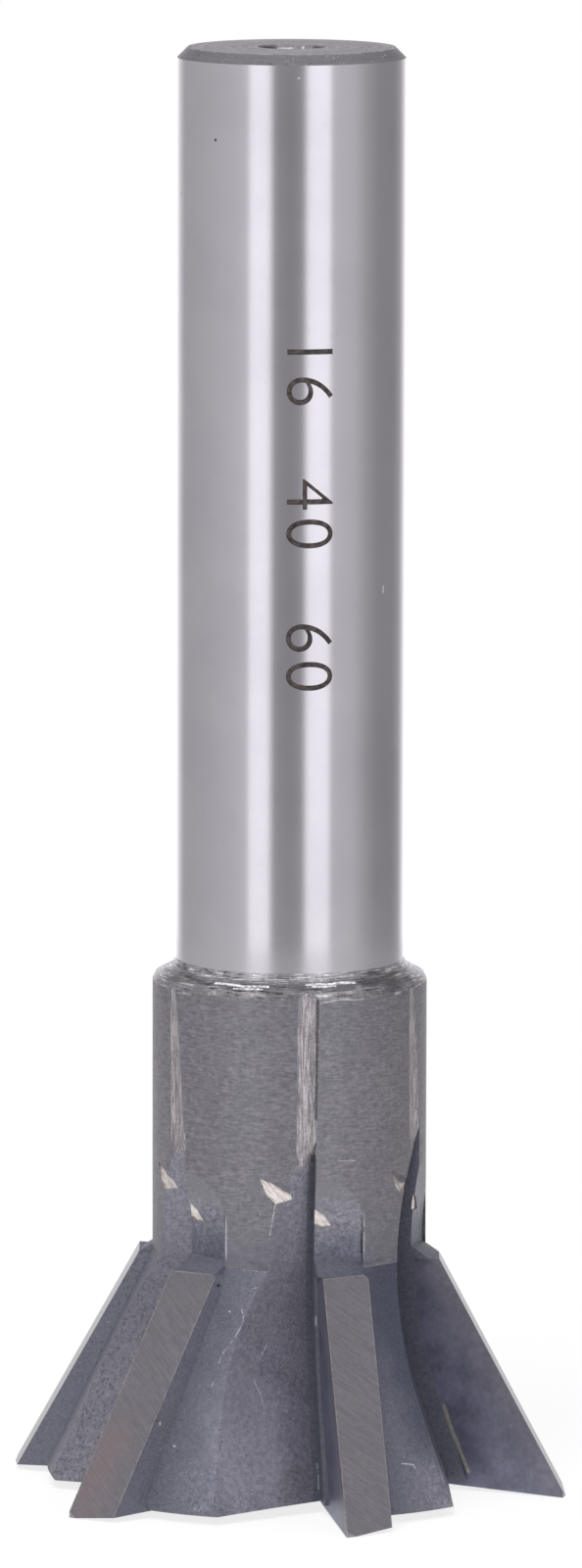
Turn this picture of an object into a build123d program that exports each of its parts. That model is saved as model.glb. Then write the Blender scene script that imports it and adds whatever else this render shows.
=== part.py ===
from build123d import *
from math import acos, cos, radians, sin, sqrt, tan
import os

# Dovetail cutter: one piece of tool steel with a plain round shank, a collar and
# a cone of six straight teeth that widens towards the tips.
# Millimetres. The cutter's axis is Z, the tooth tips stand at Z = 0 and the
# shank points up. Each tooth is drawn with its cutting edge over +X and its own
# thickness going towards +Y, and is then copied round the axis. In that drawing
# u is the distance out along X and v the distance along Y.

# Whole tool
overall_length = 102.0
tooth_count = 6
first_tooth_angle = -79.6

# Shank
shank_d = 16.0
shank_chamfer = 0.73
centre_mouth_d = 4.8
centre_pilot_d = 2.0
centre_depth = 5.2
centre_angle = 60.0

# Collar and shoulder
collar_d = 19.4
collar_top = 36.1
collar_corner_rise = 0.42
collar_corner_width = 0.2
shoulder_angle = 28.0
shank_root_width = 0.3
shank_root_rise = 0.5

# Cone of teeth
cutting_d = 40.9
dovetail_angle = 60.0
tip_flat = 0.45
ledge_width = 1.48
ledge_flat = 0.63
ledge_slope_rise = 0.9
tooth_thickness = 3.45
rake_offset = 0.37
land_clearance = 20.0
back_draft = 7.0
land_corner_r = 0.45
tooth_rise = 3.11
neck_above_ledge = 0.3
core_rim_chamfer = 0.35

# Flutes, as an angle cutter leaves them, and the rake faces ground after them
flute_angle = 70.0
flute_corner_r = 0.9
flute_slope = 20.0
flute_cutter_r = 28.0
flute_depth_in_collar = 1.7
rake_grinding = 0.24
rake_grinding_rise = 1.3

# End face
end_dish_angle = 2.6
end_relief_angle = 5.0
end_step = 0.45
recess_d = 21.0
recess_depth = 2.2
recess_wall_angle = 60.0

# Relief up the collar above each tooth, as its cutter leaves it
top_relief_depth = 0.59
top_relief_width = 3.5
top_relief_cutter_r = 28.0
top_relief_slope = 5.0

# Strip that the grinding wheel left up the collar over each flute, by tooth:
# (v at the low end, half its width there, v at the high end, half its width there)
strip_r = 2.0
strip_above_ledge = 8.0
broad_strip = (-0.55, 0.72, -0.36, 0.82)
wedge_strip = (-0.77, 0.83, -1.38, 0.16)
strips = [broad_strip] + [wedge_strip] * (tooth_count - 1)

# Chips at each flute's mouth: (distance inside the collar, v, height over the ledge)
chip_depth = 0.12
flute_chip = [
    (0.0, -3.74, 6.9),
    (0.36, -2.49, 6.36),
    (0.45, -1.6, 5.75),
    (0.4, -1.42, 5.38),
    (0.0, -2.65, 5.09),
    (-0.07, -3.3, 5.75),
]
wall_chip = [
    (0.33, 0.1, 4.61),
    (0.46, 0.1, 3.54),
    (0.5, 0.54, 3.37),
    (0.48, 1.4, 3.37),
    (0.4, 0.8, 4.22),
]

# How far the cutters run past the faces they open on
cut_over = 3.0

# Worked out from the sizes above
shank_r = shank_d / 2
collar_r = collar_d / 2
cutting_r = cutting_d / 2
recess_r = recess_d / 2
edge_run = 1 / tan(radians(dovetail_angle))
sharp_r = cutting_r + tip_flat * edge_run
tooth_height = (sharp_r - collar_r - ledge_width) / edge_run
core_r = sharp_r - tooth_rise
core_top = tooth_height + neck_above_ledge
shoulder_base = collar_top + collar_corner_rise
shoulder_in = shank_r + shank_root_width
shoulder_out = collar_r - collar_corner_width
shoulder_top = shoulder_base + (shoulder_out - shoulder_in) * tan(radians(shoulder_angle))
shank_base = shoulder_top + shank_root_rise


def dish(r):
    """Height of the end face's shallow cone at a radius."""
    return (cutting_r - r) * tan(radians(end_dish_angle))


# Turned body: core cone, collar, shoulder and shank in one profile
rim_z = end_step + dish(core_r)
rim_slope = (core_r - collar_r) / core_top
rim_r = core_r - rim_slope * rim_z - core_rim_chamfer
rim_top = rim_z + core_rim_chamfer
with BuildPart() as turned_body:
    with BuildSketch(Plane.XZ):
        with BuildLine():
            Polyline(
                (0, end_step + dish(0)),
                (rim_r, end_step + dish(rim_r)),
                (core_r - rim_slope * rim_top, rim_top),
                (collar_r, core_top),
                (collar_r, collar_top),
                (shoulder_out, shoulder_base),
                (shoulder_in, shoulder_top),
                (shank_r, shank_base),
                (shank_r, overall_length - shank_chamfer),
                (shank_r - shank_chamfer, overall_length),
                (0, overall_length),
                close=True,
            )
        make_face()
    revolve(axis=Axis.Z)

# One tooth: a straight rib whose section runs up along the cutting edge
edge_u = sqrt(sharp_r**2 - rake_offset**2)
heel_v = rake_offset + tooth_thickness
heel_u = edge_u - tooth_thickness * tan(radians(land_clearance))
root_u = core_r - 2 * tooth_rise
root_v = heel_v + (heel_u - root_u) * tan(radians(back_draft))
inner_u = sqrt(recess_r**2 - root_v**2) - cut_over
end_plane = Plane(
    origin=(cutting_r, rake_offset, 0),
    z_dir=(tan(radians(end_dish_angle)), -tan(radians(end_relief_angle)), 1),
)
with BuildPart() as tooth:
    with BuildSketch():
        with BuildLine():
            Polyline(
                (edge_u, rake_offset),
                (heel_u, heel_v),
                (root_u, root_v),
                (inner_u, root_v),
                (inner_u, rake_offset),
                close=True,
            )
        make_face()
    extrude(amount=tooth_height / sin(radians(dovetail_angle)), dir=(-edge_run, 0, 1))
    back_top_edge = tooth.faces().sort_by(Axis.Z)[-1].edges().sort_by(Axis.Y)[-2]
    fillet(back_top_edge, radius=land_corner_r)
    split(bisect_by=end_plane, keep=Keep.TOP)
    Cylinder(radius=cutting_r, height=3 * tooth_height, mode=Mode.INTERSECT)

# The flute cutter's path beside the rake face: down a slope, then round the
# cutter's own radius where it stopped
flute_wall_v = rake_offset - rake_grinding
flute_bottom = collar_r - flute_depth_in_collar
flute_tilt = radians(flute_slope)
arc_centre_u = flute_bottom + flute_cutter_r
arc_start_u = arc_centre_u - flute_cutter_r * cos(flute_tilt)
arc_start_z = tooth_height - flute_cutter_r * sin(flute_tilt)
entry_z = -cut_over
entry_u = arc_start_u + (arc_start_z - entry_z) * tan(flute_tilt)
exit_angle = acos((arc_centre_u - collar_r - cut_over) / flute_cutter_r)
exit_u = arc_centre_u - flute_cutter_r * cos(exit_angle)
exit_z = tooth_height + flute_cutter_r * sin(exit_angle)
flute_reach = sharp_r - flute_bottom
flute_spread = core_r * sin(radians(360 / tooth_count))
entry_plane = Plane(
    origin=(entry_u, flute_wall_v, entry_z),
    x_dir=(cos(flute_tilt), 0, sin(flute_tilt)),
    z_dir=(-sin(flute_tilt), 0, cos(flute_tilt)),
)

# One flute: the angle cutter's section along that path
with BuildPart() as flute:
    with BuildLine(Plane.XZ.offset(-flute_wall_v)):
        Line((entry_u, entry_z), (arc_start_u, arc_start_z))
        ThreePointArc((arc_start_u, arc_start_z), (flute_bottom, tooth_height), (exit_u, exit_z))
    with BuildSketch(entry_plane):
        with BuildLine():
            Polyline(
                (0, 0),
                (flute_reach, 0),
                (flute_reach, -flute_spread),
                (flute_spread / tan(radians(flute_angle)), -flute_spread),
                close=True,
            )
        make_face()
        fillet(vertices().sort_by_distance(entry_plane.origin)[0], radius=flute_corner_r)
    sweep()

# Ground rake face: a thin layer off the tooth's front, up to the ledge
with BuildPart() as rake_face:
    with BuildLine(Plane.XZ.offset(-flute_wall_v)):
        Line((entry_u, entry_z), (arc_start_u, arc_start_z))
        arc_middle = flute_tilt / 2
        ThreePointArc(
            (arc_start_u, arc_start_z),
            (
                arc_centre_u - flute_cutter_r * cos(arc_middle),
                tooth_height - flute_cutter_r * sin(arc_middle),
            ),
            (flute_bottom, tooth_height),
        )
    with BuildSketch(entry_plane):
        with Locations((rake_grinding_rise, 0)):
            Rectangle(flute_reach, rake_grinding, align=(Align.MIN, Align.MIN))
    sweep()

# Turned slope that runs from the ledge up to the relief
relief_floor = collar_r - top_relief_depth
slope_r = collar_r + ledge_width - ledge_flat
slope_grade = ledge_slope_rise / (slope_r - relief_floor)
with BuildPart() as slope_cone:
    with BuildSketch(Plane.XZ):
        with BuildLine():
            Polyline(
                (0, tooth_height - ledge_slope_rise),
                (slope_r, tooth_height - ledge_slope_rise),
                (slope_r, tooth_height),
                (0, tooth_height + slope_r * slope_grade),
                close=True,
            )
        make_face()
    revolve(axis=Axis.Z)
with BuildPart() as ledge_slope:
    add(slope_cone.part)
    with Locations((slope_r, 0, tooth_height)):
        Box(
            2 * (slope_r - flute_bottom),
            flute_wall_v + top_relief_width,
            4 * ledge_slope_rise,
            align=(Align.CENTER, Align.MIN, Align.CENTER),
            mode=Mode.INTERSECT,
        )

# Relief above the tooth: a shallow pocket that fades out up the collar
relief_end_u = collar_r + cut_over
relief_start_z = tooth_height + ledge_slope_rise
relief_end_z = relief_start_z + sqrt(
    top_relief_cutter_r**2 - (top_relief_cutter_r - (relief_end_u - relief_floor)) ** 2
)
with BuildPart() as top_relief:
    with BuildSketch(Plane.XZ.offset(-flute_wall_v)):
        with BuildLine():
            RadiusArc(
                (relief_floor, relief_start_z),
                (relief_end_u, relief_end_z),
                top_relief_cutter_r,
            )
            Polyline(
                (relief_end_u, relief_end_z),
                (relief_end_u, tooth_height),
                (relief_floor, tooth_height),
                (relief_floor, relief_start_z),
            )
        make_face()
    extrude(
        amount=top_relief_width / cos(radians(top_relief_slope)),
        dir=(-tan(radians(top_relief_slope)), 1, 0),
    )
    add(slope_cone.part, mode=Mode.SUBTRACT)


def strip_point(v, half_width, z):
    """Centre of the strip's round cutter where it cuts that wide a groove."""
    depth = half_width**2 * (1 / strip_r + 1 / collar_r) / 2
    reach = collar_r + strip_r - depth
    return Vector(reach * sqrt(1 - (v / collar_r) ** 2), reach * v / collar_r, z)


def ground_strip(low_v, low_half, high_v, high_half):
    """Strip up the collar: a leaning round groove with a ball end."""
    low_z = tooth_height + strip_above_ledge + low_half
    low_point = strip_point(low_v, low_half, low_z)
    high_point = strip_point(high_v, high_half, shoulder_top)
    with BuildPart() as groove:
        with Locations(low_point):
            Sphere(strip_r)
        with BuildSketch(Plane(origin=low_point, z_dir=high_point - low_point)):
            Circle(strip_r)
        extrude(amount=(high_point - low_point).length)
    return groove.part


def chip_prism(corners):
    """Flat-floored wedge that knocks a chip off an edge of the collar."""
    points = []
    for inside, v, rise in corners:
        points.append(Vector(sqrt((collar_r - inside) ** 2 - v**2), v, tooth_height + rise))
    outward = (points[1] - points[0]).cross(points[-1] - points[0]).normalized()
    if outward.X < 0:
        outward = -outward
    floor = Plane(origin=points[0] - outward * chip_depth, z_dir=outward)
    with BuildPart() as prism:
        with BuildSketch(floor):
            with BuildLine():
                outline = [floor.to_local_coords(point) for point in points]
                Polyline(*[(point.X, point.Y) for point in outline], close=True)
            make_face()
        extrude(amount=cut_over)
    return prism.part


with BuildPart() as cutter:
    add(turned_body.part)
    with PolarLocations(0, tooth_count, start_angle=first_tooth_angle):
        add(tooth.part)
        add(ledge_slope.part)
    with PolarLocations(0, tooth_count, start_angle=first_tooth_angle):
        add(flute.part, mode=Mode.SUBTRACT)
        add(rake_face.part, mode=Mode.SUBTRACT)
        add(top_relief.part, mode=Mode.SUBTRACT)
        add(chip_prism(flute_chip), mode=Mode.SUBTRACT)
        add(chip_prism(wall_chip), mode=Mode.SUBTRACT)
    for tooth_index, strip in enumerate(strips):
        with Locations(Rotation(0, 0, first_tooth_angle + tooth_index * 360 / tooth_count)):
            add(ground_strip(*strip), mode=Mode.SUBTRACT)

    # Recess and centre in the cutting end
    recess_floor_z = end_step + dish(recess_r) + recess_depth
    wall_run = 1 / tan(radians(recess_wall_angle))
    with BuildSketch(Plane.XZ):
        with BuildLine():
            Polyline(
                (0, 0),
                (recess_r + dish(recess_r) * wall_run, 0),
                (recess_r - recess_depth * wall_run, recess_floor_z),
                (0, recess_floor_z),
                close=True,
            )
        make_face()
    revolve(axis=Axis.Z, mode=Mode.SUBTRACT)
    for centre in (
        Location((0, 0, overall_length)),
        Location((0, 0, recess_floor_z), (180, 0, 0)),
    ):
        with Locations(centre):
            CounterSinkHole(
                radius=centre_pilot_d / 2,
                counter_sink_radius=centre_mouth_d / 2,
                depth=centre_depth,
                counter_sink_angle=centre_angle,
            )

cutter.part.label = "dovetail_cutter"
print("valid", cutter.part.is_valid, "solids", len(cutter.part.solids()), "volume", cutter.part.volume)
os.makedirs("parts", exist_ok=True)
export_step(cutter.part, "parts/dovetail_cutter.step")
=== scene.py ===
import bpy
import bmesh
import math
from mathutils import Matrix, Vector


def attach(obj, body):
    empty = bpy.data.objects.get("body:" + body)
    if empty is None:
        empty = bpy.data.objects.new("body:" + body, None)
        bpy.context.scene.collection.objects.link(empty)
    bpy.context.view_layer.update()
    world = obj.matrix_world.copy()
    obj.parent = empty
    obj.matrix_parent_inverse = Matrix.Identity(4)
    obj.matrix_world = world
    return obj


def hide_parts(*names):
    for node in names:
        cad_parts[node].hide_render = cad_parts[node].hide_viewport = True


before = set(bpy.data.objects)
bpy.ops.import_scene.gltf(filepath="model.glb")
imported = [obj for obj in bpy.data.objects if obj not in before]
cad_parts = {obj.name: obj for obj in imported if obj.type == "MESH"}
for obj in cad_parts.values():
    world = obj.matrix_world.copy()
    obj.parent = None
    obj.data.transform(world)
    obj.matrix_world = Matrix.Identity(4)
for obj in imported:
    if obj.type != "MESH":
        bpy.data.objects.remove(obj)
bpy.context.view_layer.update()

mm = 0.001
scene = bpy.context.scene
scene.view_settings.view_transform = "Standard"
print("frame loaded")


# the camera stands at the photograph's own angle
cameraSettings = {
    "target": (0.0646, 0.0, 49.948),  # mm
    "distance": 755.47,
    "elevation": 8.165,  # degrees
    "roll": 0.132,
    "lens": 245.81,
    "sensor": 36.0,
    "clip": (0.05, 20.0),  # m
}


def makeCamera(values):
    tilt = math.radians(values["elevation"])
    turn = math.radians(values["roll"])
    forward = Vector((0, math.cos(tilt), -math.sin(tilt)))
    flatUp = Vector((0, math.sin(tilt), math.cos(tilt)))
    right = Vector((math.cos(turn), 0, 0)) + flatUp * math.sin(turn)
    up = flatUp * math.cos(turn) - Vector((math.sin(turn), 0, 0))
    data = bpy.data.cameras.new("photoCamera")
    data.lens = values["lens"]
    data.sensor_width = values["sensor"]
    data.clip_start, data.clip_end = values["clip"]
    camera = bpy.data.objects.new("photoCamera", data)
    scene.collection.objects.link(camera)
    place = Matrix((right, up, -forward)).transposed().to_4x4()
    place.translation = (Vector(values["target"]) - forward * values["distance"]) * mm
    camera.matrix_world = place
    scene.camera = camera


makeCamera(cameraSettings)
print("camera placed")


# short ways to build node trees
class Tree:
    def __init__(self, tree, values=None):
        self.values = values
        self.color = None  # a finish's colour as laid so far
        self.nodes = tree.nodes
        self.links = tree.links

    def add(self, kind, inputs=(), **settings):
        node = self.nodes.new(kind)
        for key, value in settings.items():
            setattr(node, key, value)
        for key, value in dict(inputs).items():
            self.feed(node.inputs[key], value)
        return node

    def feed(self, socket, value):
        if isinstance(value, bpy.types.NodeSocket):
            self.links.new(value, socket)
        elif socket.type == "RGBA" and len(value) == 3:
            socket.default_value = (*value, 1.0)
        else:
            socket.default_value = value

    def math(self, operation, first, second=0.0, third=0.0, clamp=False):
        node = self.add("ShaderNodeMath", {0: first, 1: second, 2: third}, operation=operation)
        node.use_clamp = clamp
        return node.outputs[0]

    def times(self, first, second, clamp=False):
        return self.math("MULTIPLY", first, second, clamp=clamp)

    def plus(self, first, second, clamp=False):
        return self.math("ADD", first, second, clamp=clamp)

    def minus(self, first, second):
        return self.math("SUBTRACT", first, second)

    def over(self, first, second, clamp=False):
        return self.math("DIVIDE", first, second, clamp=clamp)

    def larger(self, first, second):
        return self.math("MAXIMUM", first, second)

    def smaller(self, first, second):
        return self.math("MINIMUM", first, second)

    def scaleAdd(self, value, scale, offset, clamp=False):
        return self.math("MULTIPLY_ADD", value, scale, offset, clamp=clamp)

    def apart(self, first, second):
        return self.math("ABSOLUTE", self.minus(first, second))

    def split(self, vector):
        return self.add("ShaderNodeSeparateXYZ", {0: vector}).outputs

    def scaled(self, vector, scale):
        node = self.add("ShaderNodeVectorMath", {0: vector, "Scale": scale}, operation="SCALE")
        return node.outputs[0]

    def fromAxis(self, place):
        return self.vector("LENGTH", self.vector("MULTIPLY", place, (1.0, 1.0, 0.0)))

    def use(self, group, inputs=()):
        return self.add("ShaderNodeGroup", inputs, node_tree=group).outputs

    def vector(self, operation, first, second=(0, 0, 0)):
        node = self.add("ShaderNodeVectorMath", {0: first, 1: second}, operation=operation)
        return node.outputs["Value"] if operation in ("LENGTH", "DOT_PRODUCT", "DISTANCE") else node.outputs[0]

    def noise(self, vector, scale, detail=3.0, rough=0.55, distortion=0.0):
        node = self.add(
            "ShaderNodeTexNoise",
            {"Vector": vector, "Scale": scale, "Detail": detail, "Roughness": rough, "Distortion": distortion},
        )
        return node.outputs["Fac"]

    def step(self, value, low, high, lowOut=0.0, highOut=1.0):
        node = self.add(
            "ShaderNodeMapRange",
            {"Value": value, "From Min": low, "From Max": high, "To Min": lowOut, "To Max": highOut},
            interpolation_type="SMOOTHSTEP",
        )
        return node.outputs["Result"]

    def blend(self, factor, first, second):
        node = self.add("ShaderNodeMix", {"Factor": factor, "A": first, "B": second}, data_type="FLOAT")
        return node.outputs["Result"]

    def mix(self, factor, first, second, blend="MIX"):
        node = self.add("ShaderNodeMix", data_type="RGBA", blend_type=blend, clamp_factor=True)
        self.feed(node.inputs["Factor"], factor)
        self.feed(node.inputs["A"], first)
        self.feed(node.inputs["B"], second)
        return node.outputs["Result"]

    def base(self, mask, low, high, first="dull", second="color"):
        # the finish's two main colours, one for each end of the mask
        self.color = self.mix(self.step(mask, low, high), self.values[first], self.values[second])

    def cover(self, mask, name, amount=1.0):
        # lays one of the finish's own colours over the masked part of it
        share = mask if amount == 1.0 else self.times(mask, amount)
        self.color = self.mix(share, self.color, self.values[name])

    def marks(self, place, marks):
        total = 0.0
        for points, width, wander, broken in marks:
            look = {"Place": place, "Width": width, "Wander": wander, "Broken": broken}
            for begin, end in zip(points, points[1:]):
                mask = self.use(markGroup, {**look, "From": begin, "To": end})["Mask"]
                total = self.plus(total, mask, clamp=True)
        return total

    def marked(self, place, marks, name, amount=1.0):
        self.cover(self.marks(place, marks), name, amount)

    def varied(self, mask, low, high):
        self.color = self.mix(1.0, self.color, self.step(mask, 0.36, 0.64, low, high), "MULTIPLY")


def gray(level):
    return level, level, level, 1.0


# plain studio: a pale floor and soft surroundings
studioSettings = {
    "floorRadius": 0.2,
    "floorSides": 96,
    "floorColor": (0.86, 0.85, 0.86, 1.0),
    "floorGlow": 0.8,
    "glowLimits": (0.08, 0.194),  # distances from the middle between which the floor turns white
    # direction round the object in degrees (0 towards the camera, + to its right), brightness
    "surroundings": (
        (-180, 1.25), (-164, 1.25), (-138, 0.62), (-95, 0.74), (-60, 0.86), (-44, 0.98),
        (-42, 1.75), (-23, 1.75), (-17, 0.5), (0, 0.44), (12, 0.5),
        (18, 1.75), (39, 1.75), (42, 0.92), (66, 0.84), (82, 0.6), (98, 0.45),
        (127, 0.42), (143, 0.56), (164, 1.25), (180, 1.25),
    ),
    "overhead": 0.62,
    "overheadLimits": (0.25, 0.7),  # how steep a direction has to be, up or down, to count as overhead
    "overheadBehind": 0.4,  # share of it left above the white backdrop
    "behindLimits": (0.3, 0.8),
    "aboveBackdrop": (0.14, 0.34),
    "fill": 0.78,  # what falls on dull surfaces
    "tint": (0.985, 0.97, 1.0, 1.0),
}


def makeWorld(values):
    world = bpy.data.worlds.new("studio")
    world.use_nodes = True
    scene.world = world
    tree = Tree(world.node_tree)
    tree.nodes.clear()
    direction = tree.add("ShaderNodeTexCoord").outputs["Generated"]
    parts = tree.split(direction)
    around = tree.math("ARCTAN2", parts["X"], tree.times(parts["Y"], -1.0))
    factor = tree.scaleAdd(around, 0.5 / math.pi, 0.5)
    ramp = tree.add("ShaderNodeValToRGB", {"Fac": factor})
    stops = values["surroundings"]
    elements = ramp.color_ramp.elements
    while len(elements) < len(stops):
        elements.new(0.5)
    for element, (angle, level) in zip(elements, stops):
        element.position = (angle + 180) / 360
        element.color = gray(level / 2)
    height = tree.math("ABSOLUTE", parts["Z"])
    band = tree.times(ramp.outputs["Color"], 2.0)
    level = tree.blend(tree.step(height, *values["overheadLimits"]), band, values["overhead"])
    above = tree.step(parts["Z"], *values["aboveBackdrop"])
    behind = tree.times(tree.step(parts["Y"], *values["behindLimits"]), above)
    level = tree.times(level, tree.blend(behind, 1.0, values["overheadBehind"]))
    rays = tree.add("ShaderNodeLightPath").outputs
    mirrored = tree.larger(rays["Is Glossy Ray"], rays["Is Transmission Ray"])
    level = tree.blend(mirrored, values["fill"], level)
    seen = tree.add("ShaderNodeBackground", {"Color": gray(1.0), "Strength": 1.0})
    lit = tree.add("ShaderNodeBackground", {"Color": values["tint"], "Strength": level})
    mixed = tree.add("ShaderNodeMixShader", {0: rays["Is Camera Ray"], 1: lit.outputs[0], 2: seen.outputs[0]})
    tree.add("ShaderNodeOutputWorld", {"Surface": mixed.outputs[0]})


def makeFloor(values):
    bm = bmesh.new()
    bmesh.ops.create_circle(bm, cap_ends=True, segments=values["floorSides"], radius=values["floorRadius"])
    mesh = bpy.data.meshes.new("floor")
    bm.to_mesh(mesh)
    bm.free()
    floor = bpy.data.objects.new("floor", mesh)
    scene.collection.objects.link(floor)
    material = bpy.data.materials.new("paleFloor")
    material.use_nodes = True
    tree = Tree(material.node_tree)
    tree.nodes.clear()
    place = tree.add("ShaderNodeTexCoord").outputs["Object"]
    radius = tree.vector("LENGTH", place)
    edge = tree.step(radius, *values["glowLimits"])
    glow = tree.scaleAdd(edge, 1 - values["floorGlow"], values["floorGlow"])
    rays = tree.add("ShaderNodeLightPath").outputs
    plain = tree.add("ShaderNodeBsdfDiffuse", {"Color": values["floorColor"]})
    white = tree.add("ShaderNodeEmission", {"Color": gray(1.0), "Strength": 1.0})
    seen = tree.larger(rays["Is Camera Ray"], rays["Is Glossy Ray"])
    amount = tree.times(glow, tree.larger(seen, rays["Is Transmission Ray"]))
    mixed = tree.add("ShaderNodeMixShader", {0: amount, 1: plain.outputs[0], 2: white.outputs[0]})
    tree.add("ShaderNodeOutputMaterial", {"Surface": mixed.outputs[0]})
    mesh.materials.append(material)


lampSettings = {"place": (-0.15, -0.35, 0.75), "aim": (0, 0, 0.04), "size": 0.5, "power": 5.0}


def makeLamp(values):
    data = bpy.data.lights.new("top", "AREA")
    data.shape = "DISK"
    data.size = values["size"]
    data.energy = values["power"]
    lamp = bpy.data.objects.new("top", data)
    scene.collection.objects.link(lamp)
    place = Vector(values["place"])
    aim = (Vector(values["aim"]) - place).to_track_quat("-Z", "Y")
    lamp.matrix_world = Matrix.Translation(place) @ aim.to_matrix().to_4x4()
    lamp.visible_camera = False
    lamp.visible_glossy = False


makeWorld(studioSettings)
makeFloor(studioSettings)
makeLamp(lampSettings)
print("studio ready")


# effects that several finishes share
def makeEffect(name, inputs, build):
    group = bpy.data.node_groups.new(name, "ShaderNodeTree")
    for label, value in inputs.items():
        kind = "NodeSocketVector" if isinstance(value, tuple) else "NodeSocketFloat"
        group.interface.new_socket(label, in_out="INPUT", socket_type=kind).default_value = value
    tree = Tree(group)
    results = build(tree, tree.add("NodeGroupInput").outputs)
    for label in results:
        group.interface.new_socket(label, in_out="OUTPUT", socket_type="NodeSocketFloat")
    tree.add("NodeGroupOutput", results)
    return group


def placeInMm(tree):
    return tree.scaled(tree.add("ShaderNodeTexCoord").outputs["Object"], 1000.0)


def flatPlace(tree):
    # the tooth's own flat map: millimetres through the tooth, or out along its rake face, and up it
    return tree.add("ShaderNodeTexCoord").outputs["UV"]


def buildMottle(tree, given):
    # patches, pits, bright flecks and two grains
    place = placeInMm(tree)
    elsewhere = tree.vector("ADD", place, (37.0, 11.0, 23.0))
    pitScale = tree.over(1.0, given["Pit Size"])
    pits = tree.noise(place, pitScale, 1.5, 0.5)
    flecks = tree.noise(elsewhere, pitScale, 1.5, 0.5)
    pitLow = tree.scaleAdd(given["Pits"], -0.3, 0.85)
    fleckLow = tree.scaleAdd(given["Flecks"], -0.3, 0.85)
    return {
        "Patch": tree.noise(place, tree.over(1.0, given["Patch Size"]), 6.0, 0.62),
        "Pit": tree.step(pits, pitLow, tree.plus(pitLow, 0.06)),
        "Fleck": tree.step(flecks, fleckLow, tree.plus(fleckLow, 0.05)),
        "Grain": tree.noise(elsewhere, 5.0, 4.0, 0.75),
        "Speckle": tree.noise(elsewhere, 2.6, 6.0, 0.78),
    }


def buildToothSides(tree, given):
    # millimetres through the tooth on the left of a point, and short of the one on its right
    place = placeInMm(tree)
    parts = tree.split(place)
    lead = 2.0  # degrees in front of a tooth that still count as its own
    around = tree.math("ARCTAN2", parts["X"], tree.times(parts["Y"], -1.0))
    start = tree.math("RADIANS", tree.minus(given["First Tooth"], lead))
    pitch = tree.math("RADIANS", given["Pitch"])
    share = tree.math("FLOORED_MODULO", tree.minus(around, start), pitch)
    left = tree.minus(share, math.radians(lead))
    right = tree.minus(left, pitch)
    radius = tree.fromAxis(place)
    return {
        "Past": tree.times(radius, tree.math("SINE", left)),
        "Short": tree.times(radius, tree.math("SINE", right)),
    }


def buildTurningLines(tree, given):
    # fine lines round the axis, broken here and there
    place = placeInMm(tree)
    parts = tree.split(place)
    across = tree.over(tree.minus(parts["Z"], tree.fromAxis(place)), given["Line Size"])
    side = tree.over(parts["X"], given["Break Size"])
    depth = tree.over(parts["Y"], given["Break Size"])
    line = tree.add("ShaderNodeCombineXYZ", {"X": across, "Y": side, "Z": depth}).outputs[0]
    return {"Line": tree.noise(line, 1.0, 3.0, 0.65)}


def buildGrindingLines(tree, given):
    # straight scratches of a grinding wheel, on the tooth's own flat map
    turn = {"Vector": flatPlace(tree), "Angle": given["Angle"]}
    axis = tree.add("ShaderNodeVectorRotate", turn, rotation_type="Z_AXIS")
    parts = tree.split(axis.outputs[0])
    along = tree.over(parts["X"], given["Line Length"])
    across = tree.over(parts["Y"], given["Line Size"])
    line = tree.add("ShaderNodeCombineXYZ", {"X": along, "Y": across}).outputs[0]
    return {"Line": tree.noise(line, 1.0, 3.0, 0.6, 0.4)}


def buildMark(tree, given):
    # a wandering, broken mark between two points: a scratch, a dot or a wide soft patch
    place = given["Place"]
    waves = tree.add("ShaderNodeTexNoise", {"Vector": place, "Scale": 0.6, "Detail": 3.0}).outputs["Color"]
    sway = tree.scaled(tree.vector("SUBTRACT", waves, (0.5, 0.5, 0.5)), given["Wander"])
    start = tree.vector("SUBTRACT", tree.vector("ADD", place, sway), given["From"])
    line = tree.vector("SUBTRACT", given["To"], given["From"])
    reached = tree.vector("DOT_PRODUCT", start, line)
    share = tree.over(reached, tree.vector("DOT_PRODUCT", line, line), clamp=True)
    gap = tree.vector("DISTANCE", start, tree.scaled(line, share))
    core = tree.step(gap, tree.times(given["Width"], 0.35), given["Width"], 1.0, 0.0)
    whole = tree.step(tree.noise(place, 4.0, 2.0, 0.7), 0.4, 0.52)
    return {"Mask": tree.times(core, tree.blend(given["Broken"], 1.0, whole))}


def buildEdgeWearAndGlint(tree, given):
    # thin bright line along the border of a box in the surface's own flat map: partly wear, partly painted
    # highlight of the edge
    flat = flatPlace(tree)
    low = tree.split(tree.vector("SUBTRACT", flat, given["Low"]))
    high = tree.split(tree.vector("SUBTRACT", given["High"], flat))
    gap = tree.smaller(tree.smaller(low["X"], high["X"]), tree.smaller(low["Y"], high["Y"]))
    uneven = tree.noise(placeInMm(tree), 1.6, 3.0, 0.7)
    reach = tree.times(tree.step(uneven, 0.38, 0.68, 0.3, 1.5), given["Width"])
    return {"Mask": tree.step(gap, tree.times(reach, 0.5), reach, 1.0, 0.0)}


# how many teeth there are, and how far the first is from the camera side, in degrees, + to its right
teeth = {"count": 6, "first": 10.4}

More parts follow.
